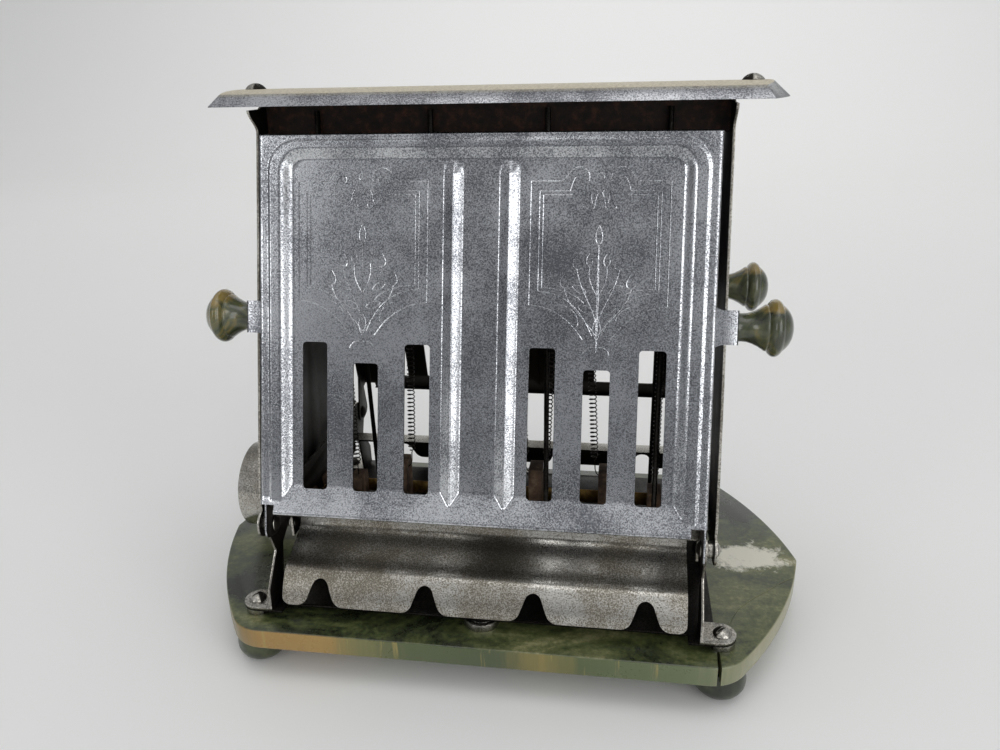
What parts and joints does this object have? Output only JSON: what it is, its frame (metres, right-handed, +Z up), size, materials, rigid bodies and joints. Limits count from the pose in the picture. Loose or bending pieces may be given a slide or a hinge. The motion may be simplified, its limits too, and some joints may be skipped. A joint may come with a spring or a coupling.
{
  "type": "drop side toaster",
  "caption": "A-frame toaster with two bottom-hinged pressed doors, a strung heating coil and a marbled resin base on ball feet.",
  "frame": {"origin": "middle of the underside, on the table between the four feet", "axes": "+Z up, front door towards -Y, plug guard towards -X"},
  "size_m": [0.256, 0.15, 0.2196],
  "materials": {
    "base_resin": "marbled green and amber cast resin, worn gloss",
    "foot_resin": "dark green cast resin, worn gloss",
    "knob_resin": "turned marbled green and amber resin, polished",
    "nickel_plate": "nickel plated steel sheet, dulled and pitted",
    "plated_screws": "plated screws, rivets and pins, dulled",
    "dark_steel": "darkened steel",
    "rusty_steel": "rusty steel sheet",
    "ceramic": "browned unglazed ceramic",
    "resistance_wire": "oxidised resistance wire",
    "brass_fittings": "tarnished brass"
  },
  "bodies": {
    "frame": {"base_plate": "base_resin", "foot_front_left": "foot_resin", "foot_front_right": "foot_resin", "foot_rear_left": "foot_resin", "foot_rear_right": "foot_resin", "base_screws": "plated_screws", "corner_spacers": "plated_screws", "centre_washers": "plated_screws", "bottom_plate": "dark_steel", "leg_bracket_left": "nickel_plate", "leg_bracket_right": "nickel_plate", "end_panel_left": "nickel_plate", "end_panel_right": "nickel_plate", "panel_rivets": "plated_screws", "top_plate": "nickel_plate", "top_screws": "plated_screws", "apron_front": "nickel_plate", "apron_rear": "nickel_plate", "apron_rivets": "plated_screws", "hinge_pin_front_left": "plated_screws", "hinge_pin_front_right": "plated_screws", "hinge_pin_rear_left": "plated_screws", "hinge_pin_rear_right": "plated_screws", "upper_rail": "rusty_steel", "rail_rivets": "plated_screws", "upper_insulators": "ceramic", "lower_insulators": "ceramic", "heating_coil": "resistance_wire", "bread_guard_front": "dark_steel", "bread_guard_rear": "dark_steel", "plug_guard": "nickel_plate", "terminal_pins": "brass_fittings", "pin_bushes": "ceramic", "terminal_nuts": "brass_fittings", "lead_strap": "brass_fittings", "bus_bar": "brass_fittings"},
    "front_door": {"door_front": "nickel_plate", "knob_front_left": "knob_resin", "knob_front_right": "knob_resin", "knob_screws_front": "plated_screws"},
    "rear_door": {"door_rear": "nickel_plate", "knob_rear_left": "knob_resin", "knob_rear_right": "knob_resin", "knob_screws_rear": "plated_screws"}
  },
  "joints": [
    {"name": "front_door_hinge", "type": "hinge", "parent": "frame", "child": "front_door", "pos_m": [0, -0.056, 0.0582], "axis": [1, 0, 0], "range_deg": [0, 105]},
    {"name": "rear_door_hinge", "type": "hinge", "parent": "frame", "child": "rear_door", "pos_m": [0, 0.056, 0.0582], "axis": [-1, 0, 0], "range_deg": [0, 105]}
  ]
}
